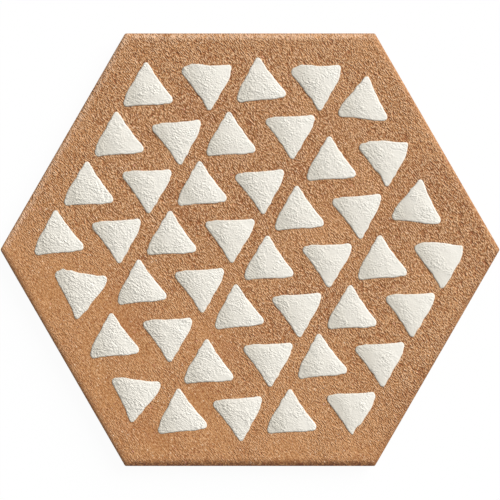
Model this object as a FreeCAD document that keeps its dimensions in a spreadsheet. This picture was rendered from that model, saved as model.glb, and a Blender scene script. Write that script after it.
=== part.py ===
import FreeCAD, Part
import math
import os
import Sketcher

# Hexagon floor tile that lies on its back, with raised glaze marks on its face.
# Origin at the middle of the back, X from corner to corner, Y from flat to flat, Z up out of the face.

os.makedirs("parts", exist_ok=True)
doc = FreeCAD.newDocument("hexagon_tile")
sheet = doc.addObject("Spreadsheet::Sheet", "Sizes")

# Driving sizes, in millimetres and degrees
driving_sizes = [
    ("across_flats", 260, "distance between two opposite sides of the tile"),
    ("body_thickness", 10.2, "from the back to the flat of the face"),
    ("corner_round", 1.3, "radius of the six corners seen from above"),
    ("arris_width", 4, "how far the softened edge of the face reaches in from the side"),
    ("arris_drop", 1.2, "how far the softened edge falls on its way to the side"),
    ("back_bevel", 0.8, "small bevel all round the edge of the back"),
    ("key_depth", 0.8, "how deep the adhesive key is pressed into the back"),
    ("frame_width", 9, "plain border round the key"),
    ("rib_width", 3.6, "width of a rib between two cells of the key"),
    ("rib_steps", 5, "rib spacings from the middle of the back to its border"),
    ("rib_headings", 3, "number of directions in which the ribs run"),
    ("mark_height", 0.8, "how far a glaze mark stands above the face"),
    ("mark_slope", 32, "lean of a mark's flanks, in degrees from upright"),
    ("tip_centre_x", -0.8, "centre of the round at a mark's tip, from the mark's middle"),
    ("tip_centre_y", 14.9, "centre of the round at a mark's tip, from the mark's middle"),
    ("left_centre_x", -11.1, "centre of the round at a mark's left corner"),
    ("left_centre_y", -7.2, "centre of the round at a mark's left corner"),
    ("right_centre_x", 12.2, "centre of the round at a mark's right corner"),
    ("right_centre_y", -5.35, "centre of the round at a mark's right corner"),
    ("tip_round", 1.6, "radius of the tip of a mark"),
    ("left_round", 2.9, "radius of the left corner of a mark"),
    ("right_round", 3.1, "radius of the right corner of a mark"),
    ("left_side_radius", 191, "left side of a mark, bowed outwards"),
    ("base_side_radius", 250, "base of a mark, hollowed"),
    ("right_side_radius", 119, "right side of a mark, hollowed"),
    ("first_mark_x", -61.25, "middle of the uppermost mark of the first file"),
    ("first_mark_y", 95.9, "middle of the uppermost mark of the first file"),
    ("step_left", 18.1, "shift to the left from one mark of a file to the next"),
    ("step_down", 29.65, "shift downwards from one mark of a file to the next"),
    ("file_gap", 67.95, "distance along X from one file of marks to the next"),
    ("late_left", 0.55, "how much nearer the third and fourth files stand"),
    ("three_down", 0.28, "extra shift downwards of every third mark of four"),
    ("four_up", 0.22, "extra shift upwards of every fourth mark of four"),
    ("half_turn_left", 0.64, "shift to the left of all the marks that point down"),
    ("half_turn_up", 0.56, "shift upwards of all the marks that point down"),
    ("first_marks", 4, "marks in the first file"),
    ("second_marks", 6, "marks in the second file"),
    ("third_marks", 7, "marks in the third file"),
    ("fourth_marks", 5, "marks in the fourth file"),
    ("first_skip", 0, "steps down the first file before its first mark"),
    ("second_skip", 0, "steps down the second file before its first mark"),
    ("third_skip", 0.5, "steps down the third file before its first mark"),
    ("fourth_skip", 2.5, "steps down the fourth file before its first mark"),
    ("first_top_left", 0.6, "sideways push on the first file's first mark"),
    ("second_top_left", 0.8, "sideways push on the second file's first mark"),
    ("second_top_up", 2.8, "push towards the rim on the second file's first mark"),
    ("second_next_left", 0.7, "sideways push on the second file's second mark"),
    ("second_end_right", 1.65, "sideways push on the second file's last mark"),
    ("second_end_down", 2.3, "push towards the rim on the second file's last mark"),
    ("third_top_right", 3.05, "sideways push on the third file's first mark"),
    ("third_top_up", 6.35, "push towards the rim on the third file's first mark"),
    ("third_next_right", 1.15, "sideways push on the third file's second mark"),
    ("third_end_right", 2, "sideways push on the third file's last mark"),
    ("third_end_down", 3.15, "push towards the rim on the third file's last two marks"),
    ("fourth_top_right", 3.45, "sideways push on the fourth file's first mark"),
    ("fourth_top_up", 3.85, "push towards the rim on the fourth file's first mark"),
    ("fourth_end_down", 3.5, "push towards the rim on the fourth file's last mark"),
    ("rim_turn", -11, "turn of the marks along the upper right side, clockwise"),
    ("turn_one", -1.2, "turn of the marks, which comes round again after four steps of a file"),
    ("turn_two", -0.1, "turn of the marks, second of four"),
    ("turn_three", -1.9, "turn of the marks, third of four"),
    ("turn_four", 1.2, "turn of the marks, fourth of four"),
    ("low_turn", 2.1, "extra turn of the two marks along the lower left side"),
    ("right_mark_left", 0.4, "shift of the mark near the right corner of the tile"),
    ("right_mark_up", 0.6, "shift of the mark near the right corner of the tile"),
    ("right_mark_turn", -4, "extra turn of the mark near the right corner of the tile"),
    ("left_mark_left", 1.1, "shift of the turned mark near the left corner of the tile"),
    ("left_mark_up", 1.2, "shift of the turned mark near the left corner of the tile"),
    ("end_growth", 1.04, "size of the last mark of a file among those that point down"),
    ("corner_growth", 1.085, "size of the turned mark near the left corner of the tile"),
]
for row, (alias, value, meaning) in enumerate(driving_sizes, start=1):
    sheet.set(f"A{row}", alias.replace("_", " "))
    sheet.set(f"B{row}", str(value))
    sheet.set(f"C{row}", meaning)
    sheet.setAlias(f"B{row}", alias)

# Sizes that follow from the driving sizes
derived_sizes = [
    ("side_reach", "=across_flats / 2", "from the middle to a side"),
    ("corner_reach", "=across_flats / sqrt(3)", "from the middle to a sharp corner"),
    ("arris_radius", "=(arris_width^2 + arris_drop^2) / (2 * arris_drop)", "arc of the softened edge"),
    ("blank_reach", "=side_reach - arris_width + arris_radius", "half width of the blank before it is cut"),
    ("blank_corner", "=blank_reach * 2 / sqrt(3)", "corner of the blank"),
    ("round_centre", "=corner_reach - corner_round * 2 / sqrt(3)", "centre of a corner's round"),
    ("rib_pitch", "=(side_reach - frame_width + rib_width / 2) / rib_steps", "spacing of the ribs"),
    ("frame_corner", "=(side_reach - frame_width) * 2 / sqrt(3)", "inner corner of the border"),
]
first_row = len(driving_sizes) + 1
for row, (alias, formula, meaning) in enumerate(derived_sizes, start=first_row):
    sheet.set(f"A{row}", alias.replace("_", " "))
    sheet.set(f"B{row}", formula)
    sheet.set(f"C{row}", meaning)
    sheet.setAlias(f"B{row}", alias)
doc.recompute()

HEX_SIDES = 6
HEX_TURN = 60
FULL_TURN = 360
WHOLE = 1e-6
POINT = {"start": 1, "end": 2, "centre": 3}
ORIGIN = (-1, 1)
upright = FreeCAD.Vector(0, 0, 1)


def size(alias):
    """Read one size from the sheet."""
    return float(sheet.get(alias))


def new_sketch(body, name, lift=None):
    """Start a sketch on the body's own XY plane, raised by a sheet size where one is named."""
    plane = next(item for item in body.Origin.OriginFeatures if item.Role == "XY_Plane")
    sketch = body.newObject("Sketcher::SketchObject", name)
    sketch.AttachmentSupport = [(plane, "")]
    sketch.MapMode = "FlatFace"
    if lift:
        sketch.setExpression("AttachmentOffset.Base.z", f"Sizes.{lift}")
    return sketch


def tie_point(sketch, curve, end, x_formula, y_formula, x_now, y_now):
    """Hold a point of a curve at a place that the sheet gives."""
    for kind, formula, now in (("DistanceX", x_formula, x_now), ("DistanceY", y_formula, y_now)):
        index = sketch.addConstraint(Sketcher.Constraint(kind, *ORIGIN, curve, end, now))
        sketch.setExpression(f"Constraints[{index}]", formula)


def join(sketch, kind, first, second):
    """Let one curve end where the next begins, with or without a smooth run between them."""
    sketch.addConstraint(Sketcher.Constraint(kind, first, POINT["end"], second, POINT["start"]))


def tie_radius(sketch, curve, alias):
    """Give an arc the radius that the sheet holds."""
    index = sketch.addConstraint(Sketcher.Constraint("Radius", curve, size(alias)))
    sketch.setExpression(f"Constraints[{index}]", f"Sizes.{alias}")


def add_hexagon(sketch, corner_alias):
    """Draw a sharp regular hexagon whose corners lie at the named distance."""
    reach = size(corner_alias)
    corners = []
    for number in range(HEX_SIDES):
        angle = math.radians(HEX_TURN * number)
        corners.append(FreeCAD.Vector(reach * math.cos(angle), reach * math.sin(angle), 0))
    sides = []
    for number in range(HEX_SIDES):
        side = Part.LineSegment(corners[number], corners[(number + 1) % HEX_SIDES])
        sides.append(sketch.addGeometry(side))
    for number in range(HEX_SIDES):
        following = sides[(number + 1) % HEX_SIDES]
        join(sketch, "Coincident", sides[number], following)
        heading = HEX_TURN * number
        tie_point(sketch, sides[number], POINT["start"],
                  f"Sizes.{corner_alias} * cos({heading})", f"Sizes.{corner_alias} * sin({heading})",
                  corners[number].x, corners[number].y)


def add_rounded_hexagon(sketch):
    """Draw the tile's own outline: six sides joined by six small rounds."""
    centre_reach = size("round_centre")
    radius = size("corner_round")
    rounds = []
    for number in range(HEX_SIDES):
        heading = HEX_TURN * number
        angle = math.radians(heading)
        centre = FreeCAD.Vector(centre_reach * math.cos(angle), centre_reach * math.sin(angle), 0)
        circle = Part.Circle(centre, upright, radius)
        half = math.radians(HEX_TURN / 2)
        rounds.append(sketch.addGeometry(Part.ArcOfCircle(circle, angle - half, angle + half)))
        tie_radius(sketch, rounds[-1], "corner_round")
        tie_point(sketch, rounds[-1], POINT["centre"],
                  f"Sizes.round_centre * cos({heading})", f"Sizes.round_centre * sin({heading})",
                  centre.x, centre.y)
    for number in range(HEX_SIDES):
        here = rounds[number]
        there = rounds[(number + 1) % HEX_SIDES]
        side = Part.LineSegment(sketch.getPoint(here, POINT["end"]), sketch.getPoint(there, POINT["start"]))
        side = sketch.addGeometry(side)
        join(sketch, "Tangent", here, side)
        join(sketch, "Tangent", side, there)


def add_bar(sketch):
    """Draw the lowest rib that runs along X, long enough to cross the whole back."""
    reach = size("corner_reach")
    middle = -(size("rib_steps") - 1) * size("rib_pitch")
    half = size("rib_width") / 2
    low, high = middle - half, middle + half
    places = [(-reach, low), (reach, low), (reach, high), (-reach, high)]
    points = [FreeCAD.Vector(x, y, 0) for x, y in places]
    bars = [sketch.addGeometry(Part.LineSegment(points[k], points[(k + 1) % 4])) for k in range(4)]
    for k in range(4):
        join(sketch, "Coincident", bars[k], bars[(k + 1) % 4])
    for k in (0, 2):
        sketch.addConstraint(Sketcher.Constraint("Horizontal", bars[k]))
        sketch.addConstraint(Sketcher.Constraint("Vertical", bars[k + 1]))
    lowest = "-(Sizes.rib_steps - 1) * Sizes.rib_pitch"
    ends = [(bars[0], "-Sizes.corner_reach", " - Sizes.rib_width / 2", places[0]),
            (bars[2], "Sizes.corner_reach", " + Sizes.rib_width / 2", places[2])]
    for bar, across, aside, place in ends:
        tie_point(sketch, bar, POINT["start"], across, lowest + aside, *place)


def edges_where(shape, test):
    """Names of the edges of a shape that pass a test."""
    return [f"Edge{number}" for number, edge in enumerate(shape.Edges, start=1) if test(edge)]


# Tile body: a hexagonal blank with a cushion arris, cut to the tile's outline
tile_body = doc.addObject("PartDesign::Body", "tile_body")
tile_body.Label = "tile_body"

blank_outline = new_sketch(tile_body, "blank_outline", "key_depth")
add_hexagon(blank_outline, "blank_corner")
blank = tile_body.newObject("PartDesign::Pad", "blank")
blank.Profile = blank_outline
blank.setExpression("Length", "Sizes.body_thickness - Sizes.key_depth")
doc.recompute()

# The fillet runs wider than the arris, and the later cut to the outline leaves only its gentle part
cushion = tile_body.newObject("PartDesign::Fillet", "cushion")
top = size("body_thickness")
cushion.Base = (blank, edges_where(blank.Shape, lambda edge: edge.BoundBox.ZMin > top - WHOLE))
cushion.setExpression("Radius", "Sizes.arris_radius")
doc.recompute()

# Adhesive key on the back: ribs in three directions, all of them crossing at the middle, and a border
rib_outline = new_sketch(tile_body, "rib_outline")
add_bar(rib_outline)
rib = tile_body.newObject("PartDesign::Pad", "rib")
rib.Profile = rib_outline
rib.setExpression("Length", "Sizes.key_depth")
doc.recompute()

rib_grid = tile_body.newObject("PartDesign::MultiTransform", "rib_grid")
rib_grid.Originals = [rib]
rib_rows = tile_body.newObject("PartDesign::LinearPattern", "rib_rows")
rib_rows.Direction = (rib_outline, ["V_Axis"])
rib_rows.setExpression("Length", "(Sizes.rib_steps - 1) * 2 * Sizes.rib_pitch")
rib_rows.setExpression("Occurrences", "(Sizes.rib_steps - 1) * 2 + 1")
rib_turns = tile_body.newObject("PartDesign::PolarPattern", "rib_turns")
rib_turns.Axis = (rib_outline, ["N_Axis"])
rib_turns.setExpression("Angle", f"{HEX_TURN} * (Sizes.rib_headings - 1)")
rib_turns.setExpression("Occurrences", "Sizes.rib_headings")
rib_grid.Transformations = [rib_rows, rib_turns]
tile_body.Tip = rib_grid
doc.recompute()

border_outline = new_sketch(tile_body, "border_outline")
add_hexagon(border_outline, "blank_corner")
add_hexagon(border_outline, "frame_corner")
border = tile_body.newObject("PartDesign::Pad", "border")
border.Profile = border_outline
border.setExpression("Length", "Sizes.key_depth")
doc.recompute()

# The cut to the outline takes away the wide part of the blank and whatever ribs run past the sides
trim_outline = new_sketch(tile_body, "trim_outline")
add_rounded_hexagon(trim_outline)
ring = trim_outline.addGeometry(Part.Circle(FreeCAD.Vector(0, 0, 0), upright, size("across_flats")))
trim_outline.addConstraint(Sketcher.Constraint("Coincident", ring, POINT["centre"], *ORIGIN))
tie_radius(trim_outline, ring, "across_flats")
trim = tile_body.newObject("PartDesign::Pocket", "trim")
trim.Profile = trim_outline
trim.Type = "ThroughAll"
trim.Reversed = True
doc.recompute()


def on_back_rim(edge):
    """True for the edges where the back meets the sides, outside the middle of the plain border."""
    lies_flat = edge.BoundBox.ZMax < WHOLE
    place = edge.valueAt((edge.FirstParameter + edge.LastParameter) / 2)
    headings = [math.radians(HEX_TURN * (number + 0.5)) for number in range(HEX_SIDES)]
    outwards = max(place.x * math.cos(angle) + place.y * math.sin(angle) for angle in headings)
    return lies_flat and outwards > size("side_reach") - size("frame_width") / 2


bevel = tile_body.newObject("PartDesign::Chamfer", "back_edge_bevel")
bevel.Base = (trim, edges_where(trim.Shape, on_back_rim))
bevel.setExpression("Size", "Sizes.back_bevel")
tile_body.Tip = bevel
doc.recompute()

# One glaze mark: a three-sided outline with one bowed and two hollowed sides, and three unlike corners
mark = doc.addObject("PartDesign::Body", "mark")
mark_outline = new_sketch(mark, "mark_outline", "body_thickness")


def corner_centre(name):
    """Centre of the round at one corner of a mark."""
    return FreeCAD.Vector(size(f"{name}_centre_x"), size(f"{name}_centre_y"), 0)


def side_of_mark(first, second, radius, form):
    """Flat arc that runs on smoothly from the round of one corner to the round of the next."""
    start, finish = corner_centre(first), corner_centre(second)
    to_start = radius - form * size(f"{first}_round")
    to_finish = radius - form * size(f"{second}_round")
    gap = (finish - start).Length
    ahead = (finish - start) * (1 / gap)
    outward = FreeCAD.Vector(ahead.y, -ahead.x, 0)
    along = (to_start ** 2 - to_finish ** 2 + gap ** 2) / (2 * gap)
    centre = start + ahead * along - outward * form * math.sqrt(to_start ** 2 - along ** 2)
    leaves = centre + (start - centre).normalize() * radius
    arrives = centre + (finish - centre).normalize() * radius
    return leaves, centre + outward * form * radius, arrives


def heading_from(centre, point):
    """Direction in which a point lies, as an angle."""
    return math.atan2(point.y - centre.y, point.x - centre.x)


def end_at(sketch, curve, point):
    """Tell which end of a curve lies at a point."""
    return POINT["start"] if (sketch.getPoint(curve, POINT["start"]) - point).Length < WHOLE else POINT["end"]


BOWED, HOLLOWED = 1, -1
corner_names = ["tip", "left", "right"]
side_forms = [("left_side_radius", BOWED), ("base_side_radius", HOLLOWED), ("right_side_radius", HOLLOWED)]
side_points = []
side_curves = []
for number, (alias, form) in enumerate(side_forms):
    points = side_of_mark(corner_names[number], corner_names[(number + 1) % 3], size(alias), form)
    side_points.append(points)
    side_curves.append(mark_outline.addGeometry(Part.Arc(*points)))
    tie_radius(mark_outline, side_curves[-1], alias)
for number, name in enumerate(corner_names):
    centre = corner_centre(name)
    arriving_at, leaving_from = side_points[number - 1][2], side_points[number][0]
    circle = Part.Circle(centre, upright, size(f"{name}_round"))
    span = heading_from(centre, arriving_at), heading_from(centre, leaving_from)
    corner_curve = mark_outline.addGeometry(Part.ArcOfCircle(circle, *span))
    tie_radius(mark_outline, corner_curve, f"{name}_round")
    tie_point(mark_outline, corner_curve, POINT["centre"], f"Sizes.{name}_centre_x", f"Sizes.{name}_centre_y",
              centre.x, centre.y)
    for side, point in ((side_curves[number - 1], arriving_at), (side_curves[number], leaving_from)):
        side_end = end_at(mark_outline, side, point)
        corner_end = end_at(mark_outline, corner_curve, point)
        mark_outline.addConstraint(Sketcher.Constraint("Tangent", side, side_end, corner_curve, corner_end))
mark_pad = mark.newObject("PartDesign::Pad", "mark_pad")
mark_pad.Profile = mark_outline
mark_pad.setExpression("Length", "Sizes.mark_height")
mark_pad.setExpression("TaperAngle", "-Sizes.mark_slope")
mark.Tip = mark_pad
doc.recompute()

# Four slanting files of marks that point up, and the same files after half a turn, which point down
ALL_FILES = ["first", "second", "third", "fourth"]
pushes = {
    ("first", "top"): (-size("first_top_left"), 0),
    ("second", "top"): (-size("second_top_left"), size("second_top_up")),
    ("second", "next to top"): (-size("second_next_left"), 0),
    ("second", "end"): (size("second_end_right"), -size("second_end_down")),
    ("third", "top"): (size("third_top_right"), size("third_top_up")),
    ("third", "next to top"): (size("third_next_right"), 0),
    ("third", "next to end"): (0, -size("third_end_down")),
    ("third", "end"): (size("third_end_right"), -size("third_end_down")),
    ("fourth", "top"): (size("fourth_top_right"), size("fourth_top_up")),
    ("fourth", "end"): (0, -size("fourth_end_down")),
}
turn_round = ["turn_one", "turn_two", "turn_three", "turn_four"]
lift_round = [0, 0, -size("three_down"), size("four_up")]
inner_files = ["second", "third"]
nearer_files = ["third", "fourth"]
turned_marks = [("third", "top"), ("fourth", "top")]


def mark_positions():
    """Place, turn and post in its file of every mark that points up."""
    positions = []
    for number, file_name in enumerate(ALL_FILES):
        count = int(size(f"{file_name}_marks"))
        for step in range(count):
            posts = {0: "top", 1: "next to top", count - 2: "next to end", count - 1: "end"}
            post = posts.get(step, "between")
            steps_down = size(f"{file_name}_skip") + step
            push_x, push_y = pushes.get((file_name, post), (0, 0))
            if file_name in nearer_files:
                push_x -= size("late_left")
            place_in_round = (step - 1 if file_name in inner_files else step) % len(turn_round)
            x = size("first_mark_x") + number * size("file_gap") - steps_down * size("step_left") + push_x
            y = size("first_mark_y") - steps_down * size("step_down") + push_y + lift_round[place_in_round]
            turn = size(turn_round[place_in_round])
            if (file_name, post) in turned_marks:
                turn = size("rim_turn")
            positions.append((x, y, turn, file_name, post))
    return positions


def placed_mark(shape, x, y, turn, growth):
    """Copy of the mark, grown about the face of the body, turned and set down in its place."""
    copy = shape.copy()
    copy.scale(growth, FreeCAD.Vector(0, 0, size("body_thickness")))
    copy.rotate(FreeCAD.Vector(0, 0, 0), upright, turn)
    copy.translate(FreeCAD.Vector(x, y, 0))
    return copy


# A few marks near the rim stand a little off their place
shared_shift = FreeCAD.Vector(-size("half_turn_left"), size("half_turn_up"), 0)
own_shifts = {
    ("first", "end"): FreeCAD.Vector(-size("right_mark_left"), size("right_mark_up"), 0),
    ("fourth", "top"): FreeCAD.Vector(-size("left_mark_left"), size("left_mark_up"), 0),
}
own_turns = {("first", "end"): size("right_mark_turn")}
solids = []
for x, y, turn, file_name, post in mark_positions():
    on_low_side = post == "end" and file_name in inner_files
    low_turn = size("low_turn") if on_low_side else 0
    solids.append(placed_mark(mark.Shape, x, y, turn + low_turn, 1))
    growth = 1
    if post == "end":
        growth = size("end_growth")
    if (file_name, post) == ("fourth", "top"):
        growth = size("corner_growth")
    shift = shared_shift + own_shifts.get((file_name, post), FreeCAD.Vector())
    turn += FULL_TURN / 2 + own_turns.get((file_name, post), 0)
    solids.append(placed_mark(mark.Shape, shift.x - x, shift.y - y, turn, growth))
glaze_triangles = doc.addObject("Part::Feature", "glaze_triangles")
glaze_triangles.Label = "glaze_triangles"
glaze_triangles.Shape = Part.makeCompound(solids)
doc.recompute()

for item in doc.Objects:
    if "Invalid" in item.State or "Error" in item.State:
        raise RuntimeError(f"{item.Name} did not build: {item.State}")
for node in (tile_body, glaze_triangles):
    if node.Shape.isNull() or not node.Shape.isValid():
        raise RuntimeError(f"{node.Label} has no valid shape")
    node.Shape.exportStep(f"parts/{node.Label}.step")
    box = node.Shape.BoundBox
    print(node.Label, len(node.Shape.Solids), "solids", round(node.Shape.Volume), "mm3",
          [round(v, 3) for v in (box.XMin, box.XMax, box.YMin, box.YMax, box.ZMin, box.ZMax)])
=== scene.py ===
# %% [markdown]
# # A hexagon floor tile with raised white glaze marks
#
# The real object is one pressed and fired stoneware tile, seen from straight above. Its face is rough,
# earthy clay with a softened edge, and 44 triangles of thick matt white glaze stand on it. The tile is
# plain in form, so nearly all of its character is in two surfaces: the sandy grain of the clay and the
# finer, crumpled grain of the glaze. This lesson builds both as real relief first, and adds only the finest
# grain with a bump.

# %% Bring in the measured tile
import math

import bpy
import numpy as np
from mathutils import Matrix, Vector, noise
from mathutils.geometry import delaunay_2d_cdt


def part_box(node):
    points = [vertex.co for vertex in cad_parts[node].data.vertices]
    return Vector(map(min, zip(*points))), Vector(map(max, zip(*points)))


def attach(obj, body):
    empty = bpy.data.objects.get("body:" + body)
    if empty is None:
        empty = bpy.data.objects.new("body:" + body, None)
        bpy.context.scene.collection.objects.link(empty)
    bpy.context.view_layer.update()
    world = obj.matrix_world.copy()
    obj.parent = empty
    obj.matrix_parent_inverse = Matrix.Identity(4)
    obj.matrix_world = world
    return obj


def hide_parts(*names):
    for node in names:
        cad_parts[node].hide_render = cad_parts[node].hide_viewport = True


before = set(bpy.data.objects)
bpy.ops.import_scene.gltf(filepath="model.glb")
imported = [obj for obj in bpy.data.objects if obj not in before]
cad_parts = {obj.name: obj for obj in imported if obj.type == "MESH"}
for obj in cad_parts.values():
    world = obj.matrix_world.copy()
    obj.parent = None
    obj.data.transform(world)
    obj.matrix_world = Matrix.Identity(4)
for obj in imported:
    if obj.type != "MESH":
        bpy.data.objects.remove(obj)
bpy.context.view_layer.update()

MM = 0.001
body_low, body_high = (np.array(corner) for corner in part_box("tile_body"))
face_height = body_high[2]
side_reach = body_high[1]
print("tile body", np.round((body_high - body_low) / MM, 2), "mm")

# %% [markdown]
# ## The hexagon as a measure
#
# Almost every step needs to know how far a point lies from the nearest side. For a hexagon that is short to
# write: project the point on the six directions that face the sides and keep the largest value. The six
# small corner rounds of the real tile are added by pulling in whatever lies beyond them.

# %% Distance to the sides
SIDES = 6
corner_reach = side_reach * 2 / math.sqrt(3)
corner_round = 1.3 * MM
side_headings = [math.radians(60 * number + 30) for number in range(SIDES)]
corner_headings = [math.radians(60 * number) for number in range(SIDES)]


def reach_towards_side(x, y):
    """Largest distance from the middle towards any of the six sides."""
    return np.max([x * math.cos(a) + y * math.sin(a) for a in side_headings], axis=0)


def tuck_corners(x, y):
    """Pull points that lie beyond a corner's round back onto it."""
    centre_reach = corner_reach - corner_round * 2 / math.sqrt(3)
    for heading in corner_headings:
        cos_a, sin_a = math.cos(heading), math.sin(heading)
        ahead, across = x * cos_a + y * sin_a, -x * sin_a + y * cos_a
        beyond = ahead - centre_reach
        distance = np.hypot(beyond, across)
        in_sector = (beyond > 0) & (np.abs(across) < beyond * math.tan(math.radians(30)))
        pull = np.where(in_sector & (distance > corner_round), corner_round / np.maximum(distance, 1e-9), 1.0)
        ahead, across = np.where(in_sector, centre_reach + beyond * pull, ahead), across * pull
        x, y = ahead * cos_a - across * sin_a, ahead * sin_a + across * cos_a
    return x, y


print("corner to corner", round(corner_reach * 2 / MM, 1), "mm")

# %% [markdown]
# ## Where the glaze lies
#
# The measured model already holds every triangle of glaze as a small solid. Its foot, the flat polygon
# where it touches the clay, is the outline that a maker would have stencilled. Reading those outlines keeps
# the looks and the measurements in step. An edge that belongs to only one facet of the foot lies on the
# outline, so walking along such edges gives each outline in order.

# %% Read the outlines of the marks
foot_flatness = 0.01 * MM


def walk_loops(faces):
    """Chain the edges that have a face on one side only into closed loops of vertex numbers."""
    forward = {(a, b) for face in faces for a, b in zip(face, face[1:] + face[:1])}
    following = {a: b for a, b in forward if (b, a) not in forward}
    loops = []
    while following:
        start, here = following.popitem()
        loop = [start]
        while here != start:
            loop.append(here)
            here = following.pop(here)
        loops.append(loop)
    return loops


def outlines_from_node(node_name):
    """Outline of each solid's foot, counter-clockwise, in metres."""
    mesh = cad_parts[node_name].data
    number_at = {}
    points = []
    number_of = []
    for vertex in mesh.vertices:
        place = tuple(round(value / MM, 3) for value in vertex.co)
        if place not in number_at:
            number_at[place] = len(points)
            points.append(tuple(vertex.co))
        number_of.append(number_at[place])
    points = np.array(points)
    foot_level = points[:, 2].min()
    feet = []
    for face in mesh.polygons:
        corners = [number_of[index] for index in face.vertices]
        if all(points[corner, 2] < foot_level + foot_flatness for corner in corners):
            feet.append(corners[::-1])
    outlines = [points[loop, :2] for loop in walk_loops(feet)]
    return sorted(outlines, key=lambda outline: (round(outline[:, 1].mean(), 5), outline[:, 0].mean()))


stencil_outlines = outlines_from_node("glaze_triangles")
print(len(stencil_outlines), "marks, with", min(map(len, stencil_outlines)), "outline points each")

# %% [markdown]
# ## How the glaze crept
#
# The glaze doesn't follow the stencil exactly. It creeps out a little along one side, draws in along
# another and pulls the corners to points. All marks share these habits. Those that point down have two
# more, and six of them near the rim are the most uneven. Each habit is a gentle push of the outline around
# one heading, seen from the mark's own middle. A few pushes say more than a new outline would, and every
# mark keeps its own shape.

# %% Habits of the creep
glaze_gap = 0.51 * MM
tip_heading = 92

# Each push is a heading and a spread in degrees, and how far it goes outwards in millimetres.
common_creep = [
    (38, 12, 0.16), (60, 7, -0.14), (77, 6, 0.12), (97, 5, 0.1), (108, 5, -0.15), (119, 5, 0.2),
    (140, 12, -0.26), (181, 16, 0.30), (203, 5, -0.38), (217, 6, 0.42), (306, 12, 0.22),
    (324, 5, -0.46), (335, 6, 0.28), (196, 8, 0.13),
]
pointing_down_creep = [(319, 6, 0.2), (226, 16, -0.13)]
rim_creep = {
    "top": [(300, 24, 1.1), (319, 8, 0.8), (207, 12, -0.8), (72, 14, -0.5)],
    "upper right": [(284, 28, 1.0), (212, 22, -1.3), (72, 14, -0.9), (317, 8, 0.3)],
    "right corner": [(290, 36, 1.1), (214, 20, -1.7), (54, 20, -0.6), (82, 10, -0.7),
                     (104, 12, 0.4), (130, 28, 0.5), (343, 9, -0.3), (320, 8, 0.4)],
    "left corner": [(301, 16, 0.6), (320.5, 3.5, 1.1), (340, 10, -0.5), (76, 14, -0.9),
                    (118, 24, 0.5), (36, 20, -0.4), (225, 16, -0.4)],
    "lower right": [(105, 16, -1.6), (340, 14, -0.4)],
}


def place_on_rim(middle):
    """Name of the place if a mark that points down lies at one of the uneven places, else None."""
    x, y = middle / MM
    places = {"top": y > 95, "right corner": x > 110, "left corner": x < -95,
              "upper right": x > 75 and y > 40, "lower right": x > 50 and y < -90}
    return next((name for name, is_there in places.items() if is_there), None)


print(len(common_creep), "habits of all marks,", len(rim_creep), "uneven places at the rim")


# %% Let the glaze creep
def even_outline(outline, spacing):
    """The same outline with its points spaced evenly."""
    closed = np.vstack([outline, outline[:1]])
    length = np.concatenate([[0], np.cumsum(np.hypot(*np.diff(closed, axis=0).T))])
    count = int(round(length[-1] / spacing))
    places = np.arange(count) * length[-1] / count
    return np.column_stack([np.interp(places, length, closed[:, axis]) for axis in (0, 1)])


def outward(outline):
    """Unit directions that point out of the outline at its points."""
    step = np.roll(outline, -1, axis=0) - np.roll(outline, 1, axis=0)
    return np.column_stack([step[:, 1], -step[:, 0]]) / np.hypot(*step.T)[:, None]


def crept(outline):
    """Outline of the glaze for one outline of the stencil."""
    outline = even_outline(outline, glaze_gap)
    middle = outline.mean(axis=0)
    away = outline - middle
    points_up = away[:, 1].max() > -away[:, 1].min()
    tip = away[away[:, 1].argmax() if points_up else away[:, 1].argmin()]
    turn = math.degrees(math.atan2(tip[1], tip[0])) - tip_heading
    heading = np.degrees(np.arctan2(away[:, 1], away[:, 0])) - turn
    push = np.zeros(len(outline))
    own_creep = [] if points_up else pointing_down_creep + rim_creep.get(place_on_rim(middle), [])
    for centre, spread, amount in common_creep + own_creep:
        off = (heading - centre + 180) % 360 - 180
        push += amount * MM * np.exp(-(off / spread) ** 2)
    return even_outline(outline + outward(outline) * push[:, None], glaze_gap)


mark_outlines = [crept(outline) for outline in stencil_outlines]
fewest, most = min(map(len, mark_outlines)), max(map(len, mark_outlines))
print("after creeping, outlines of", fewest, "to", most, "points")

# %% [markdown]
# ## Depth inside a mark
#
# A distance to an outline tells how deep a point lies inside a mark. It shapes the rounded edge of the
# glaze, and it tells which part of the clay is hidden for good. The nearest point is looked for on every
# stretch of the outline, and counting how often a level line crosses the outline tells the inside from the
# outside.

# %% Measure the depth
def depth_inside(points, outline):
    """Distance of each point to a closed outline, positive inside it."""
    start = outline
    step = np.roll(outline, -1, axis=0) - outline
    offset = points[:, None, :] - start[None, :, :]
    along = np.clip((offset * step).sum(axis=2) / (step ** 2).sum(axis=1), 0, 1)
    gap = offset - along[:, :, None] * step
    distance = np.sqrt((gap ** 2).sum(axis=2).min(axis=1))
    end = start + step
    crosses = (start[None, :, 1] > points[:, None, 1]) != (end[None, :, 1] > points[:, None, 1])
    rise = np.where(step[:, 1] == 0, 1e-12, step[:, 1])
    cut = start[None, :, 0] + (points[:, None, 1] - start[None, :, 1]) / rise * step[None, :, 0]
    inside = (crosses & (points[:, None, 0] < cut)).sum(axis=1) % 2 == 1
    return np.where(inside, distance, -distance)


first_mark = mark_outlines[0]
middle_depth = depth_inside(first_mark.mean(axis=0)[None, :], first_mark)[0]
print("depth at the middle of a mark", round(middle_depth / MM, 1), "mm")

# %% [markdown]
# ## The grain of the clay
#
# Under a low light the clay looks like short, slanting ripples, each a few millimetres long, with finer
# sand between them. Gradient noise gives such bumps. Squeezing its coordinates across one direction makes
# the bumps longer along it. The tile isn't rough all over alike: its upper half is coarse and its lower
# left is smoother, and a part of the softened edge was wiped, so the strength follows the place.

# %% Noise and roughness of the clay
lean = math.radians(-52)
full_roughness = 1.06
lower_left_loss = 0.62


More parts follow.
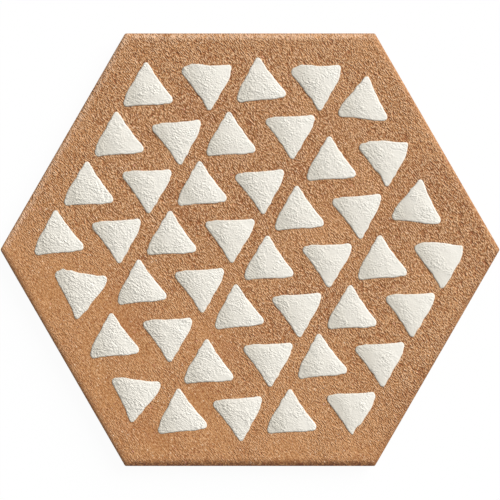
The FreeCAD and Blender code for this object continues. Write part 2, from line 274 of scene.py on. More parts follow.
def slanting_noise(x, y, size, stretch, layer, slant=lean):
    """Noise with bumps of one size, drawn out along the slant. Each layer is a pattern of its own."""
    along = (x * math.cos(slant) + y * math.sin(slant)) / (size * stretch)
    across = (-x * math.sin(slant) + y * math.cos(slant)) / size
    return np.array([noise.noise(Vector((a, b, layer))) for a, b in zip(along, across)])


def ease(value, low, high):
    """Rises smoothly from 0 at low to 1 at high."""
    t = np.clip((value - low) / (high - low), 0, 1)
    return t * t * (3 - 2 * t)


def clay_roughness(x, y):
    """How strong the grain is at a place on the face: about 1 in the coarse upper half."""
    broad = slanting_noise(x, y, size=45 * MM, stretch=1.0, layer=7.3)
    patches = slanting_noise(x, y, size=16 * MM, stretch=1.3, layer=13.7)
    lower_left = ease(-(x * 0.55 + y * 0.85), -20 * MM, 110 * MM)
    return full_roughness - lower_left_loss * lower_left + 0.3 * broad + 0.24 * patches


for place, x in (("left", -side_reach / 2), ("right", side_reach / 2)):
    print("roughness half way to the", place, clay_roughness(np.array([x]), np.array([0.0])).round(2))

# %% [markdown]
# ## The softened edge
#
# The six sides of a fired tile are never alike. Each bends down in its own way and was wiped more or less,
# and each has its own painted highlight or painted shade: the upper edges are painted lighter and the lower
# ones darker. One table holds these traits, and every point of the face takes them from its nearest side.
# Near a corner the two sides are blended, so that no hard line shows.

# %% Traits of the six sides
arris_width = 4 * MM
arris_drop = 1.2 * MM
grain_room = 0.12 * MM
side_blend = 1.2 * MM
# pale is a painted highlight and dark a painted shade along each side's edge: lighter on the upper sides,
# darker on the lower ones.
side_traits = {
    "upper right": {"bend": 8, "wiped": 0.4, "pale": 0.05, "dark": 0.03},
    "top": {"bend": 2.2, "wiped": 0.35, "pale": 0.85, "dark": 0},
    "upper left": {"bend": 5, "wiped": 0, "pale": 0.75, "dark": 0},
    "lower left": {"bend": 5, "wiped": 0.2, "pale": 0.1, "dark": 0.32},
    "bottom": {"bend": 2.2, "wiped": 0.2, "pale": 0, "dark": 0.8},
    "lower right": {"bend": 6, "wiped": 0.2, "pale": 0, "dark": 0.32},
}


def by_side(x, y, trait):
    """A trait of the nearest side, blended softly where two sides meet."""
    gaps = np.array([side_reach - (x * math.cos(a) + y * math.sin(a)) for a in side_headings])
    weights = np.exp((gaps.min(axis=0) - gaps) / side_blend)
    values = np.array([traits[trait] for traits in side_traits.values()])
    return (weights * values[:, None]).sum(axis=0) / weights.sum(axis=0)


def smooth_height(x, y):
    """Height of the face and its softened edge without any grain, with room left for the crests."""
    into_edge = np.clip(1 - (side_reach - reach_towards_side(x, y)) / arris_width, 0, 1)
    return face_height - grain_room - arris_drop * into_edge ** by_side(x, y, "bend")


def edge_tones(x, y):
    """Shares of painted highlight and painted shade on the edge at a place."""
    inset = side_reach - reach_towards_side(x, y)
    highlight_band = ease(inset, -0.3 * MM, 1.2 * MM) * (1 - ease(inset, 1.8 * MM, 5.0 * MM))
    shade_band = 1 - ease(inset, 0.4 * MM, 5.5 * MM)
    return by_side(x, y, "pale") * highlight_band, by_side(x, y, "dark") * shade_band


print("softened edge", round(arris_width / MM, 1), "mm wide,", round(arris_drop / MM, 1), "mm deep")

# %% [markdown]
# ## Ripples, sand and swells
#
# Three kinds of bumps together make the clay's relief. Ripples and sand are as strong as the face is rough
# at their place. The broad swells, which are left from pressing, are the same all over.

# %% Relief of the clay
ripple_height = 0.14 * MM
sand_height = 0.17 * MM
swell_height = 0.12 * MM


def coarseness(x, y):
    """How strong the grain is at a place, with the wiped edge counted in."""
    inset = side_reach - reach_towards_side(x, y)
    wiped_band = 1 - ease(inset, 2.0 * MM, 3.6 * MM)
    return clay_roughness(x, y) * (1 - by_side(x, y, "wiped") * wiped_band)


def clay_grain(x, y):
    """Height of the grain above or below the smooth face."""
    ripple = slanting_noise(x, y, size=1.35 * MM, stretch=2.6, layer=1.5)
    sand = slanting_noise(x, y, size=1.0 * MM, stretch=1.9, layer=4.5)
    swell = slanting_noise(x, y, size=6 * MM, stretch=1.2, layer=9.5)
    return (ripple_height * ripple + sand_height * sand) * coarseness(x, y) + swell_height * swell


print("bumps of", [round(height / MM, 2) for height in (ripple_height, sand_height, swell_height)], "mm")

# %% [markdown]
# ## The face as a mesh of small triangles
#
# A grid of squares would cut a hexagon's slanting sides in steps. Rows of triangles that run along the
# sides fit it exactly, and they can all be listed with two counters. About three quarters of a millimetre
# between points is fine enough for the ripples. The clay under the glaze is never seen, so those triangles
# are left out and each gap is closed with one flat face, which saves a quarter of them.

# %% Lay out the face
steps_per_side = 196
lattice_gap = corner_reach / steps_per_side
lattice_shake = 0.2
hidden_depth = 1.1 * MM
rng = np.random.default_rng(11)


def face_lattice():
    """Points and triangles of the face, in rows along the sides."""
    n = steps_per_side
    number_of = {}
    places = []
    for row in range(-n, n + 1):
        for column in range(max(-n, -n - row), min(n, n - row) + 1):
            number_of[column, row] = len(places)
            places.append((column + row / 2, row * math.sqrt(3) / 2))
    triangles = []
    for (column, row), here in number_of.items():
        right, above = number_of.get((column + 1, row)), number_of.get((column, row + 1))
        above_left = number_of.get((column - 1, row + 1))
        if right is not None and above is not None:
            triangles.append((here, right, above))
        if above is not None and above_left is not None:
            triangles.append((here, above, above_left))
    return np.array(places) * lattice_gap, np.array(triangles)


def without_hidden_clay(points, triangles):
    """Leave out the triangles that lie well under a mark."""
    hidden = np.zeros(len(points), bool)
    for outline in mark_outlines:
        low, high = outline.min(axis=0), outline.max(axis=0)
        near = np.flatnonzero(((points > low) & (points < high)).all(axis=1))
        hidden[near] |= depth_inside(points[near], outline) > hidden_depth
    return triangles[~hidden[triangles].any(axis=1)]


flat_points, triangles = face_lattice()
inner = reach_towards_side(flat_points[:, 0], flat_points[:, 1]) < side_reach - 1.5 * lattice_gap
flat_points[inner] += rng.uniform(-lattice_shake, lattice_shake, (inner.sum(), 2)) * lattice_gap
triangles = without_hidden_clay(flat_points, triangles)
used = np.unique(triangles)
renumber = np.full(len(flat_points), -1)
renumber[used] = np.arange(len(used))
flat_points, triangles = flat_points[used], renumber[triangles]
print("face:", len(flat_points), "points,", len(triangles), "triangles")

# %% [markdown]
# A displacement could raise the relief later, but heights that are worked out here can also be given to the
# clay's finish, so colour and relief agree. The points of the rim all get the same level, because the sides
# start from it.

# %% Raise the relief
face_x, face_y = tuck_corners(flat_points[:, 0], flat_points[:, 1])
face_grain = clay_grain(face_x, face_y)
face_coarseness = coarseness(face_x, face_y)
face_pale, face_dark = edge_tones(face_x, face_y)
face_z = smooth_height(face_x, face_y) + face_grain
rim_level = face_height - arris_drop
loops = walk_loops(triangles.tolist())
rim_loop = max(loops, key=len)
face_z[rim_loop] = rim_level
lowest, highest = (face_z.min() - face_height) / MM, (face_z.max() - face_height) / MM
print("relief from", round(lowest, 2), "to", round(highest, 2), "mm")

# %% [markdown]
# ## The sides
#
# Below the softened edge the sides drop straight to a small bevel. They are made as rings of four-sided
# faces that repeat the rim's points lower down, so they join the face without a seam. The rings lie a hair
# further in here and there, as the walls of a press leave them.

# %% Add the sides
back_bevel = 0.8 * MM
ring_levels = [(7.6 * MM, 0), (4.4 * MM, 0), (back_bevel, 0), (0, back_bevel)]
chatter_depth = 0.10 * MM


def wall(upper, lower):
    """Four-sided faces between two loops of points that have equally many."""
    steps = [(k, (k + 1) % len(upper)) for k in range(len(upper))]
    return [[upper[after], upper[k], lower[k], lower[after]] for k, after in steps]


vertices = list(zip(face_x.tolist(), face_y.tolist(), face_z.tolist()))
faces = triangles.tolist()
faces += [loop[::-1] for loop in loops if loop is not rim_loop]

rim_points = np.column_stack([face_x[rim_loop], face_y[rim_loop]])
along_rim = np.arange(len(rim_loop)) * lattice_gap
chatter_noise = slanting_noise(along_rim, np.zeros(len(rim_loop)), size=9 * MM, stretch=1.0, layer=3.1)
rings = [rim_loop]
for level, inset in ring_levels:
    chatter = 0 if inset else chatter_depth * (0.5 + 0.5 * chatter_noise)
    shrink = 1 - (inset + chatter) / reach_towards_side(*rim_points.T)
    ring = list(range(len(vertices), len(vertices) + len(rim_loop)))
    vertices += [(x, y, level) for x, y in (rim_points * shrink[:, None]).tolist()]
    faces += wall(rings[-1], ring)
    rings.append(ring)
back_ring = rings[-1]
print("sides:", len(rings) - 1, "rings of", len(rim_loop), "faces")

# %% [markdown]
# ## The back
#
# The back has the pattern that such tiles are pressed with, so that the adhesive can grip: a plain border
# and ribs in three directions, with shallow three-sided cells between them. Cutting 150 cells out of a
# solid is slow, so their corners are worked out from the pitch of the ribs.

# %% Find the cells of the back
rib_steps = 5
rib_width = 3.6 * MM
frame_width = 9 * MM
key_depth = 0.8 * MM
key_draft = 0.25 * MM
rib_pitch = (side_reach - frame_width + rib_width / 2) / rib_steps


def back_cells():
    """Middle of every three-sided cell, and whether it points up."""
    side = rib_pitch * 2 / math.sqrt(3)
    cells = []
    for row in range(-rib_steps, rib_steps):
        for column in range(-2 * rib_steps, 2 * rib_steps):
            for points_up in (True, False):
                third = 1 / 3 if points_up else 2 / 3
                x = (column + row / 2 + (1 / 2 if points_up else 1)) * side
                y = (row + third) * rib_pitch
                if reach_towards_side(x, y) < rib_steps * rib_pitch:
                    cells.append((x, y, points_up))
    return cells


def cell_corners(x, y, points_up, inset):
    """Corners of one cell, drawn in from its neighbours' middle lines."""
    reach = (rib_pitch / 3 - inset) * 2
    first_heading = 90 if points_up else -90
    headings = [math.radians(first_heading + 120 * k) for k in range(3)]
    return [(x + reach * math.cos(heading), y + reach * math.sin(heading)) for heading in headings]


cells = back_cells()
print("back:", len(cells), "cells, ribs every", round(rib_pitch / MM, 2), "mm")

# %% [markdown]
# A constrained triangulation fills the border and the ribs between the outer ring and the mouths of the
# cells. It keeps every edge that it is given, so the mouths stay sharp. The triangles that fill a mouth are
# left out, and every cell then gets its walls and its floor.

# %% Close the back
def loop_edges(first, count):
    """Edges that join a run of points in a ring."""
    return [(first + k, first + (k + 1) % count) for k in range(count)]


def fill(points, edges, weld):
    """Triangles that fill an outline and keep the edges, as numbers of the given points."""
    inside_only = 1
    filled = delaunay_2d_cdt([Vector(point) for point in points], edges, [], inside_only, weld)
    corners_of_faces, origins = filled[2], filled[3]
    return [[origins[corner][0] for corner in corners] for corners in corners_of_faces]


def fills_a_mouth(corners):
    """True if a triangle of the back spans the mouth of one cell."""
    on_mouths = [corner - len(back_ring) for corner in corners]
    return min(on_mouths) >= 0 and len({number // 3 for number in on_mouths}) == 1


mouths = [cell_corners(*cell, rib_width / 2) for cell in cells]
flat = [vertices[index][:2] for index in back_ring] + [corner for mouth in mouths for corner in mouth]
edges = loop_edges(0, len(back_ring))
for number in range(len(mouths)):
    edges += loop_edges(len(back_ring) + 3 * number, 3)
first_mouth = len(vertices)
vertices += [(x, y, 0) for x, y in flat[len(back_ring):]]
number_on_back = back_ring + list(range(first_mouth, len(vertices)))
for corners in fill(flat, edges, weld=1e-7):
    if not fills_a_mouth(corners):
        faces.append([number_on_back[corner] for corner in corners[::-1]])
for number, cell in enumerate(cells):
    mouth = [first_mouth + 3 * number + k for k in range(3)]
    cell_floor = list(range(len(vertices), len(vertices) + 3))
    vertices += [(x, y, key_depth) for x, y in cell_corners(*cell, rib_width / 2 + key_draft)]
    faces.append(cell_floor[::-1])
    faces += [face[::-1] for face in wall(mouth, cell_floor)]
print("tile:", len(vertices), "points,", len(faces), "faces")

# %% [markdown]
# ## From lists to a piece
#
# Blender makes a mesh from a list of points and a list of faces. These helpers do that, keep a number on
# every point for a finish to read, and count what was made. A closed piece has exactly two faces at every
# edge, so counting the other edges shows at once whether something is torn.

# %% Helpers for a piece
def new_piece(name, vertices, faces):
    """A mesh object with the given points and faces, linked to the scene."""
    mesh = bpy.data.meshes.new(name)
    mesh.from_pydata(vertices, [], faces)
    mesh.validate()
    piece = bpy.data.objects.new(name, mesh)
    bpy.context.scene.collection.objects.link(piece)
    return piece


def shade_smooth(piece):
    """Let light run smoothly across the piece's faces."""
    for face in piece.data.polygons:
        face.use_smooth = True


def store_on_points(piece, name, values):
    """Keep one number per point under a name that a material can read."""
    attribute = piece.data.attributes.new(name, "FLOAT", "POINT")
    attribute.data.foreach_set("value", np.asarray(values, dtype=np.float32))


def count_up(piece):
    """Numbers of triangles and of open edges, those that don't have exactly two faces."""
    uses = {}
    for face in piece.data.polygons:
        for key in face.edge_keys:
            uses[key] = uses.get(key, 0) + 1
    triangle_count = sum(len(face.vertices) - 2 for face in piece.data.polygons)
    return f"{triangle_count} triangles, {sum(count != 2 for count in uses.values())} open edges"


# %% [markdown]
# ## One closed mesh for the tile
#
# The tile was pressed and fired as one piece, so its face, sides and back become one closed mesh. It is
# shaded smoothly, with the edges of the sides and of the back kept sharp. The height of the grain is stored
# on the points, because the clay's finish uses it later to paint shade into the hollows and a highlight on
# the crests. So are the coarseness and the painted highlight and painted shade of the edge.

# %% Make the tile body
side_coarseness = 0.4
sharp_rings = (0, 3, 4)  # the rim and both edges of the bevel at the back

tile = new_piece("tile_clay", vertices, faces)
shade_smooth(tile)
ring_of = {index: number for number, ring in enumerate(rings) for index in ring}
sharp = tile.data.attributes.new("sharp_edge", "BOOLEAN", "EDGE")
for edge in tile.data.edges:
    a, b = edge.vertices
    on_sharp_ring = ring_of.get(a) == ring_of.get(b) and ring_of.get(a) in sharp_rings
    sharp.data[edge.index].value = on_sharp_ring or (a >= first_mouth and b >= first_mouth)
beyond_face = np.zeros(len(tile.data.vertices) - len(face_z))
store_on_points(tile, "grain", np.concatenate([face_grain / MM, beyond_face]))
store_on_points(tile, "coarse", np.concatenate([face_coarseness, beyond_face + side_coarseness]))
# pale and dark carry the edge's painted highlight and painted shade.
store_on_points(tile, "pale", np.concatenate([face_pale, beyond_face]))
store_on_points(tile, "dark", np.concatenate([face_dark, beyond_face]))
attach(tile, "root")
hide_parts("tile_body")
print("tile:", count_up(tile))

# %% [markdown]
# ## The glaze marks
#
# Each mark is a patch of thick white glaze. On the real tile it looks like icing: a steep, rounded edge,
# then a gently domed top with fine crumpled grain. The height is the sum of these parts. Near the rim it
# depends on the depth inside the outline. The folds are strongest at a mark's left and on the lower left of
# the tile, and they calm down towards the rim, where the glaze ran thin.

# %% Height of the glaze
glaze_lip = 0.05 * MM
shoulder = 0.23 * MM
shoulder_width = 0.6 * MM
dome = 0.34 * MM
fold_slant = math.radians(-25)
fold_height = 0.26 * MM
fine_height = 0.09 * MM
glaze_swell = 0.06 * MM


def fold_strength(x, y, middle):
    """How crumpled the glaze is at places of one mark."""
    patches = slanting_noise(x, y, size=5.5 * MM, stretch=1.2, layer=37.5, slant=fold_slant)
    lower_right = ease(middle[0] - middle[1], 0, 160 * MM)
    lower_left = ease(-middle[0] - middle[1], 0, 130 * MM)
    to_the_right = (x - middle[0]) / (11 * MM)
    strength = 1.05 - 0.35 * lower_right + 0.4 * lower_left - 0.25 * to_the_right + 1.1 * patches
    return np.clip(strength, 0.2, 1.9)


def glaze_height(points, depth, pool, middle):
    """Height of the glaze above the clay at places inside a mark."""
    x, y = points[:, 0], points[:, 1]
    rounding = 1 - (1 - np.clip(depth / shoulder_width, 0, 1)) ** 2
    folds = np.abs(slanting_noise(x, y, size=1.5 * MM, stretch=1.5, layer=21.5, slant=fold_slant)) - 0.4
    fine = slanting_noise(x, y, size=0.8 * MM, stretch=1.2, layer=25.5, slant=fold_slant)
    swell = slanting_noise(x, y, size=5 * MM, stretch=1.0, layer=29.5)
    grain = (fold_height * folds + fine_height * fine) * fold_strength(x, y, middle) + glaze_swell * swell
    calm_at_rim = 0.25 + 0.75 * ease(depth, 0, 1.2 * MM)
    return glaze_lip + shoulder * rounding + dome * pool + grain * calm_at_rim


print("glaze up to about", round((glaze_lip + shoulder + dome) / MM, 2), "mm high")

# %% [markdown]
# The dome is the shape of a liquid skin that is held at the rim: every point lies a little above the mean
# of its neighbours, which makes one set of linear equations for each mark. The outline is filled with a
# lattice of points and joined by the same constrained triangulation as the back. The foot goes a little way
# into the clay, so no gap can show between the two.

# %% Mesh of one mark
glaze_shake = 0.15
rim_clearance = 0.55 * glaze_gap
rim_wobble = 0.16 * MM
foot_depth = 0.3 * MM
half_mark = 12 * MM


def pool_shape(count, triangles, rim_count):
    """Shape of a liquid skin held at the rim and lifted evenly: 0 at the rim, 1 at its highest place."""
    pull = np.zeros((count, count))
    corners = np.array(triangles)
    for a, b in ((0, 1), (1, 2), (2, 0)):
        pull[corners[:, a], corners[:, b]] = pull[corners[:, b], corners[:, a]] = -1
    np.fill_diagonal(pull, np.maximum(-pull.sum(axis=1), 1))
    lift = np.zeros(count)
    lift[rim_count:] = np.linalg.solve(pull[rim_count:, rim_count:], np.ones(count - rim_count))
    return lift / lift.max()


def lattice_inside(outline):
    """Points in even rows inside an outline, each shaken a little."""
    low, high = outline.min(axis=0), outline.max(axis=0)
    columns = np.arange(low[0], high[0], glaze_gap)
    rows = np.arange(low[1], high[1], glaze_gap * math.sqrt(3) / 2)
    grid_x, grid_y = np.meshgrid(columns, rows)
    grid_x = grid_x + (np.arange(len(rows)) % 2)[:, None] * glaze_gap / 2
    inside = np.column_stack([grid_x.ravel(), grid_y.ravel()])
    inside += rng.uniform(-glaze_shake, glaze_shake, inside.shape) * glaze_gap
    return inside[depth_inside(inside, outline) > rim_clearance]


def mark_mesh(outline, number):
    """Points and faces of one mark, and the numbers that its finish needs."""
    middle = outline.mean(axis=0)
    wobble = slanting_noise(*outline.T, size=2.2 * MM, stretch=1.0, layer=33.5 + number) * rim_wobble
    outline = outline + outward(outline) * wobble[:, None]
    points = np.vstack([outline, lattice_inside(outline)])
    count = len(outline)
    top = fill(points.tolist(), loop_edges(0, count), weld=1e-8)
    depth = np.maximum(depth_inside(points, outline), 0)
    depth[:count] = 0
    height = face_height + glaze_height(points, depth, pool_shape(len(points), top, count), middle)
    vertices = [(x, y, z) for (x, y), z in zip(points.tolist(), height.tolist())]
    foot = list(range(len(vertices), len(vertices) + count))
    vertices += [(x, y, face_height - foot_depth) for x, y in outline.tolist()]
    x, y = points.T
    # across runs from a mark's left to its right; the finish paints a highlight at the right and shade at the
    # left by it.
    across = ((x - middle[0]) + 0.25 * (y - middle[1])) / half_mark
    kept = {"rim": depth / MM, "across": across, "folds": fold_strength(x, y, middle)}
    kept = {name: np.concatenate([values, values[:count]]) for name, values in kept.items()}
    return vertices, top + wall(range(count), foot) + [foot[::-1]], kept


# %% [markdown]
# The 44 patches are one material and never touch, so they become one piece with 44 closed shells. For its
# finish it keeps the distance to the rim, the place across the mark and the strength of the folds.

# %% Make the marks
glaze_vertices, glaze_faces = [], []
glaze_kept = {"rim": [], "across": [], "folds": []}
for number, outline in enumerate(mark_outlines):
    first = len(glaze_vertices)
    mark_vertices, mark_faces, kept = mark_mesh(outline, number)
    glaze_vertices += mark_vertices
    glaze_faces += [[first + index for index in face] for face in mark_faces]
    for name, values in kept.items():
        glaze_kept[name].append(values)
marks = new_piece("glaze_marks", glaze_vertices, glaze_faces)
shade_smooth(marks)
for name, values in glaze_kept.items():
    store_on_points(marks, name, np.concatenate(values))
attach(marks, "root")
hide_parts("glaze_triangles")
print("glaze:", count_up(marks))

# %% [markdown]
# ## A small kit for materials
#
# All materials are built from the same few parts: noise in the object's own coordinates, ramps that turn
# noise into a share, tones that are mixed in by such a share, and a bump. The helpers below add one such
# part each and wire it up, so a finish can be read like a recipe.

# %% Material kit
def srgb(red, green, blue):
    """A colour as an image editor gives it, made linear for the renderer."""
    def linear(value):
        value /= 255
        return value / 12.92 if value <= 0.04045 else ((value + 0.055) / 1.055) ** 2.4
    return (linear(red), linear(green), linear(blue), 1)


class Finish:
    """A node material that starts with one colour and is put together step by step."""

    def __init__(self, name, colour):
        self.material = bpy.data.materials.new(name)
        self.material.use_nodes = True
        self.nodes = self.material.node_tree.nodes
        self.links = self.material.node_tree.links
        self.shader = self.nodes["Principled BSDF"]
        self.place = self.nodes.new("ShaderNodeTexCoord").outputs["Object"]
        self.colour = colour

    def wire(self, value, socket):
        """Set a socket to a constant, or link another socket to it."""
        if isinstance(value, bpy.types.NodeSocket):
            self.links.new(value, socket)
        else:
            socket.default_value = value

    def turned_place(self, turn, stretch):
        """The object's coordinates, turned and drawn out along one direction."""
        node = self.nodes.new("ShaderNodeMapping")
        node.vector_type = "TEXTURE"
        node.inputs["Rotation"].default_value = (0, 0, turn)
        node.inputs["Scale"].default_value = (stretch, 1, 1)
        self.wire(self.place, node.inputs["Vector"])
        return node.outputs["Vector"]

    def noise(self, size, detail=2.0, roughness=0.5, place=None, shift=0.0):
        """Soft noise whose bumps have the given size in metres. Each shift is a pattern of its own."""
        node = self.nodes.new("ShaderNodeTexNoise")
        node.noise_dimensions = "4D"
        self.wire(place or self.place, node.inputs["Vector"])
        node.inputs["W"].default_value = shift
        node.inputs["Scale"].default_value = 1 / size
        node.inputs["Detail"].default_value = detail
        node.inputs["Roughness"].default_value = roughness
        return node.outputs["Fac"]

    def specks(self, size, share, shift=0.0):
        """Small round specks: 1 in a speck, 0 elsewhere."""
        node = self.nodes.new("ShaderNodeTexVoronoi")
        node.voronoi_dimensions = "4D"
        self.wire(self.place, node.inputs["Vector"])
        node.inputs["W"].default_value = shift
        node.inputs["Scale"].default_value = 1 / size
        return self.between(node.outputs["Distance"], share, share * 0.4)

    def between(self, value, low, high, top=1.0):
        """Share that goes smoothly from 0 at low to top at high. It also runs downwards, if high is less."""
        node = self.nodes.new("ShaderNodeMapRange")
        node.interpolation_type = "SMOOTHSTEP"
        self.wire(value, node.inputs["Value"])
        node.inputs["From Min"].default_value = low
        node.inputs["From Max"].default_value = high
        node.inputs["To Max"].default_value = top
        return node.outputs["Result"]

    def times(self, first, second):
        """Product of two numbers."""
        node = self.nodes.new("ShaderNodeMath")
        node.operation = "MULTIPLY"
        self.wire(first, node.inputs[0])
        self.wire(second, node.inputs[1])
        return node.outputs["Value"]

    def stored(self, name):
        """A number that was stored on the piece's points."""
        node = self.nodes.new("ShaderNodeAttribute")
        node.attribute_name = name
        return node.outputs["Fac"]

    def tint(self, share, tone):
        """Mix a tone into the colour so far."""
        node = self.nodes.new("ShaderNodeMix")
        node.data_type = "RGBA"
        self.wire(share, node.inputs["Factor"])
        self.wire(self.colour, node.inputs["A"])
        self.wire(tone, node.inputs["B"])
        self.colour = node.outputs["Result"]

    def tint_both_ways(self, value, middle, reach, low, high, strength=1.0):
        """Mix in one tone where a value is low and one where it is high, each with its top share."""
        for (tone, top), end in ((low, middle - reach), (high, middle + reach)):
            self.tint(self.times(self.between(value, middle, end, top), strength), tone)

    def bump(self, height, depth):
        """Fine relief of the given depth in metres."""
        node = self.nodes.new("ShaderNodeBump")
        node.inputs["Distance"].default_value = depth
        self.wire(height, node.inputs["Height"])
        self.wire(node.outputs["Normal"], self.shader.inputs["Normal"])

    def put_on(self, piece):
        """Show the colour and make this the piece's material."""
        self.wire(self.colour, self.shader.inputs["Base Color"])
        piece.data.materials.clear()
        piece.data.materials.append(self.material)


# %% [markdown]
# ## Fired clay
#
# The clay is a warm ochre brown. Broad clouds and small patches make it a little redder or yellower. The
# hollows between the grains are painted darker as shade and the crests lighter as a highlight: by the
# stored height of the grain, by short strokes where the face is coarse, and by round grains of sand where
# it is smooth.

# %% Tones and grain of the clay
clay_dark = srgb(126, 58, 8)
clay_crest_highlight = srgb(236, 191, 149)
clay_red = srgb(175, 118, 68)
clay_yellow = srgb(193, 138, 86)

clay = Finish("terracotta_clay", srgb(184, 129, 77))
cloud = clay.noise(34 * MM, detail=3, roughness=0.6, shift=1.0)
patch = clay.noise(4 * MM, detail=3, roughness=0.6, shift=2.0)
streak = clay.noise(0.6 * MM, detail=0, place=clay.turned_place(lean, 2.4), shift=3.0)
sand = clay.noise(1.1 * MM, detail=1, roughness=0.6, shift=13.0)
coarse = clay.stored("coarse")
strokes = clay.between(coarse, 0.0, 1.2, top=1.15)
smooth = clay.between(coarse, 0.95, 0.4)
clay.tint_both_ways(cloud, 0.5, 0.16, low=(clay_yellow, 1.0), high=(clay_red, 1.0))
clay.tint_both_ways(patch, 0.5, 0.22, low=(clay_yellow, 0.7), high=(clay_red, 0.7))
# Painted shade in the hollows and painted highlight on the crests, by the grain's height, the strokes and the
# sand.
clay.tint_both_ways(clay.stored("grain"), 0.0, 0.2, (clay_dark, 0.22), (clay_crest_highlight, 0.22), strength=coarse)
clay.tint_both_ways(streak, 0.5, 0.2, low=(clay_dark, 0.6), high=(clay_crest_highlight, 0.66), strength=strokes)
clay.tint_both_ways(sand, 0.5, 0.2, low=(clay_dark, 0.54), high=(clay_crest_highlight, 0.36), strength=smooth)
print("clay grain with", len(clay.nodes), "nodes")

# %% [markdown]
# The edge is painted lighter along the upper sides as a highlight and darker along the lower ones as shade,
# in mottles and not in a line. Pinkish, cream and dark specks of grog are mixed into the clay. Each kind
# comes in loose groups, which a broad noise picks out.

# %% Edge and specks of the clay
edge_painted_highlight = srgb(224, 184, 150)
edge_painted_shade = srgb(104, 58, 28)
cream = srgb(234, 199, 165)
pink = srgb(208, 142, 116)

# Painted highlight along the upper edges and painted shade along the lower ones, in mottles.
mottle = clay.between(clay.noise(1.8 * MM, roughness=0.6, shift=9.0), 0.38, 0.58)
clay.tint(clay.times(clay.stored("pale"), mottle), edge_painted_highlight)
shade_mottle = clay.between(clay.noise(1.3 * MM, detail=1, roughness=0.6, shift=8.0), 0.22, 0.66, top=1.35)
clay.tint(clay.times(clay.stored("dark"), shade_mottle), edge_painted_shade)
sparse = clay.between(clay.noise(14 * MM, shift=4.0), 0.5, 0.6)
clay.tint(clay.times(clay.specks(3.4 * MM, 0.22, 5.0), sparse), cream)
sparse_pink = clay.between(clay.noise(11 * MM, shift=6.0), 0.47, 0.58, top=0.9)
clay.tint(clay.times(clay.specks(4.2 * MM, 0.2, 7.0), sparse_pink), pink)
crumbs = clay.between(clay.noise(8 * MM, shift=10.0), 0.42, 0.56, top=0.9)
clay.tint(clay.times(clay.specks(2.1 * MM, 0.3, 11.0), crumbs), cream)
clay.tint(clay.times(clay.specks(2.3 * MM, 0.3, 12.0), crumbs), clay_dark)
print("with edge tones and specks", len(clay.nodes), "nodes")

# %% [markdown]
# The clay has no gloss, so the shader is rough, and a bump adds the grain that is finer than the mesh. It
# reads the same strokes as the colour does.

# %% Surface of the clay
clay.shader.inputs["Roughness"].default_value = 0.6
clay.shader.inputs["Specular IOR Level"].default_value = 0.4
clay.bump(clay.times(streak, strokes), 1.5 * MM)
clay.put_on(tile)
print("clay finish with", len(clay.nodes), "nodes")

# %% [markdown]
# ## Matt white glaze
#
# The glaze is a warm white, with a painted highlight at the right of each mark and painted shade at its
# left. It is thinner and greyer where it runs out at its rim, so the clay shows through there by a trace. Its
# surface is finely crumpled, like the skin of dried paint, and a bump adds the folds that are finer than the
# mesh.

# %% Glaze finish
glaze_painted_highlight = srgb(239, 235, 225)
glaze_painted_shade = srgb(210, 204, 191)
glaze_thin = srgb(176, 170, 155)

glaze = Finish("matt_white_glaze", srgb(231, 226, 215))
across = glaze.stored("across")
skin = glaze.noise(0.6 * MM, detail=0, place=glaze.turned_place(fold_slant, 1.6), shift=11.0)
# Painted highlight at the right of each mark and painted shade at its left.
glaze.tint(glaze.between(across, 0.0, 1.0), glaze_painted_highlight)
glaze.tint(glaze.between(across, 0.1, -1.0), glaze_painted_shade)
glaze.tint(glaze.between(glaze.stored("rim"), 0.6, 0.0, top=0.4), glaze_thin)
glaze.shader.inputs["Roughness"].default_value = 0.62
glaze.shader.inputs["Specular IOR Level"].default_value = 0.35
glaze.bump(glaze.times(skin, glaze.stored("folds")), 0.36 * MM)
glaze.put_on(marks)
print("glaze finish with", len(glaze.nodes), "nodes")

# %% [markdown]
# ## The floor
#
# The tile lies on a pale floor that a camera sees as white. The floor's own colour is weak and the rest of
# its white is a glow that only the camera, reflections and glass see, so it adds no light to the tile and
# the tile's shadow still falls on it. The floor is open where the tile covers it, so that the back can be
# looked at from below.

# %% Floor
floor_reach = 4.0
opening_reach = corner_reach - 1.7 * MM
floor_tone = 0.05


def seen_directly(nodes, links):
    """1 for what the camera, reflections and glass see, 0 for light that falls on things."""
    path = nodes.new("ShaderNodeLightPath")
    total = path.outputs["Is Camera Ray"]
    for name in ("Is Glossy Ray", "Is Transmission Ray"):
        add = nodes.new("ShaderNodeMath")
        add.operation = "ADD"
        add.use_clamp = True
        links.new(total, add.inputs[0])
        links.new(path.outputs[name], add.inputs[1])
        total = add.outputs["Value"]
    return total


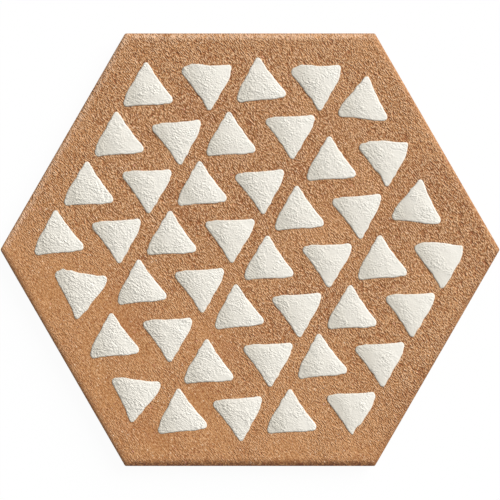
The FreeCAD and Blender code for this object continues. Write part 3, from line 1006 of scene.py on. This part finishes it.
floor_corners = [(reach * math.cos(heading), reach * math.sin(heading), 0)
                 for reach in (opening_reach, floor_reach) for heading in corner_headings]
floor_parts = [[k, k + SIDES, (k + 1) % SIDES + SIDES, (k + 1) % SIDES] for k in range(SIDES)]
floor = new_piece("floor", floor_corners, floor_parts)
floor_finish = Finish("pale_floor", (floor_tone, floor_tone, floor_tone, 1))
floor_finish.shader.inputs["Roughness"].default_value = 1.0
floor_finish.shader.inputs["Specular IOR Level"].default_value = 0.0
floor_finish.shader.inputs["Emission Color"].default_value = (1, 1, 1, 1)
seen = seen_directly(floor_finish.nodes, floor_finish.links)
glow = floor_finish.times(seen, 1.0 - floor_tone)
floor_finish.wire(glow, floor_finish.shader.inputs["Emission Strength"])
floor_finish.put_on(floor)
print("floor", floor_reach, "m from the middle to its corners")

# %% [markdown]
# ## Light
#
# One large lamp from the upper right rakes across the grain, and an even sky fills the shadows. Together
# they light a level surface so that a colour comes out as it is written. The sky looks white to the camera,
# but it lights the tile only with the share that the lamp leaves.

# %% Lamp and sky
key_share = 0.65
key_azimuth = math.radians(40)
key_height = math.radians(30)
level, upward = math.cos(key_height), math.sin(key_height)
key = bpy.data.lights.new("key", "SUN")
key.angle = math.radians(50)
key.energy = key_share * math.pi / upward
key_lamp = bpy.data.objects.new("key", key)
towards_key = Vector((math.cos(key_azimuth) * level, math.sin(key_azimuth) * level, upward))
key_lamp.rotation_euler = towards_key.to_track_quat("Z", "Y").to_euler()
bpy.context.scene.collection.objects.link(key_lamp)

world = bpy.data.worlds.new("even_sky")
world.use_nodes = True
bpy.context.scene.world = world
sky = world.node_tree.nodes["Background"]
sky.inputs["Color"].default_value = (1, 1, 1, 1)
sky_seen = seen_directly(world.node_tree.nodes, world.node_tree.links)
sky_level = world.node_tree.nodes.new("ShaderNodeMapRange")
world.node_tree.links.new(sky_seen, sky_level.inputs["Value"])
sky_level.inputs["To Min"].default_value = 1 - key_share
sky_level.inputs["To Max"].default_value = 1.0
world.node_tree.links.new(sky_level.outputs["Result"], sky.inputs["Strength"])
print("key lamp", round(key.energy, 2), "W/m2, sky", round(1 - key_share, 2))

# %% [markdown]
# ## Camera
#
# The camera hangs straight above the tile with a long lens, so all six sides are seen alike. Its height
# follows from the width that the picture has to hold at the level of the rim.

# %% Camera
camera = bpy.data.cameras.new("camera")
camera.lens = 100
camera.sensor_width = 36
view_width = 300.5 * MM
camera_shift = -0.18 * MM
camera_height = rim_level + view_width * camera.lens / camera.sensor_width
camera_object = bpy.data.objects.new("camera", camera)
camera_object.location = (0, camera_shift, camera_height)
bpy.context.scene.collection.objects.link(camera_object)
bpy.context.scene.camera = camera_object
bpy.context.scene.view_settings.view_transform = "Standard"
print("camera", round(camera_height, 3), "m above the floor")
